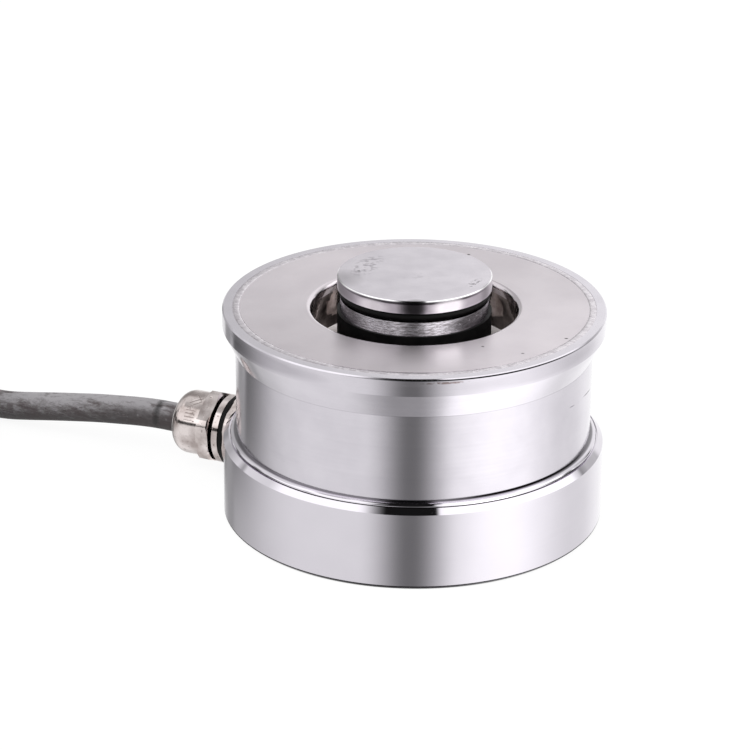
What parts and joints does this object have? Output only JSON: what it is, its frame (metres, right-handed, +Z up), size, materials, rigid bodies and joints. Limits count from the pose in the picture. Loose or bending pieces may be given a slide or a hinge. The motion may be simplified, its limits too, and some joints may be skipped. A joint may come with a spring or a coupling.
{
  "type": "button load cell",
  "caption": "Low round compression load cell with a load button in a central bore, a stainless spool-shaped body and a side cable gland with a coiled cable.",
  "frame": {"origin": "centre of the foot's face, on the axis of the body", "axes": "+Z up along the axis of the body and the load button, +X to the right and +Y to the back as pictured; the gland leaves at 154 degrees from +X"},
  "size_m": [0.2422, 0.104, 0.0497],
  "materials": {
    "turned_steel": "fine-turned stainless steel, bright, with a soft streak along the axis",
    "ground_steel": "ground stainless steel, even satin",
    "weld_steel": "laser weld bead, irregular and slightly dull",
    "polished_steel": "polished stainless steel",
    "button_steel": "hardened and polished steel with small dents",
    "spring_steel": "hardened stainless steel",
    "black_rubber": "black nitrile rubber, slightly shiny",
    "foil": "amber polyimide foil",
    "board": "green glass epoxy board",
    "white_plastic": "white polyamide",
    "resistor_body": "lacquered ceramic",
    "lead_plastic": "enamelled lead wire",
    "nickel_brass": "nickel-plated brass, warm grey",
    "cable_jacket": "grey polyurethane jacket with dark smudges",
    "tie_plastic": "black polyamide tie",
    "shrink_sleeve": "black shrunk sleeve",
    "core_red": "red core insulation",
    "core_black": "black core insulation",
    "core_green": "green core insulation",
    "core_white": "white core insulation",
    "tinned_copper": "tinned copper"
  },
  "bodies": {
    "root": {"base_ring": "turned_steel", "outer_sleeve": "turned_steel", "top_cover": "ground_steel", "top_weld": "weld_steel", "bore_sleeve": "polished_steel", "spring_body": "spring_steel", "bottom_cover": "ground_steel", "thrust_disc": "button_steel", "load_button": "button_steel", "button_oring": "black_rubber", "button_rubber": "black_rubber", "gauge_foil_upper": "foil", "gauge_foil_lower": "foil", "terminal_board": "board", "board_spacers": "white_plastic", "trim_resistors": "resistor_body", "inner_leads": "lead_plastic", "gland_adapter": "nickel_brass", "gland_gasket": "black_rubber", "gland_body": "nickel_brass", "gland_claw": "white_plastic", "gland_bush": "black_rubber", "gland_cap": "nickel_brass", "cable_inner": "cable_jacket", "cable_lead": "cable_jacket", "cable_coil": "cable_jacket", "coil_ties": "tie_plastic", "cable_tail": "cable_jacket", "end_sleeve": "shrink_sleeve", "core_red": "core_red", "core_black": "core_black", "core_green": "core_green", "core_white": "core_white", "drain_wire": "tinned_copper", "ferrules": "tinned_copper"}
  },
  "joints": []
}
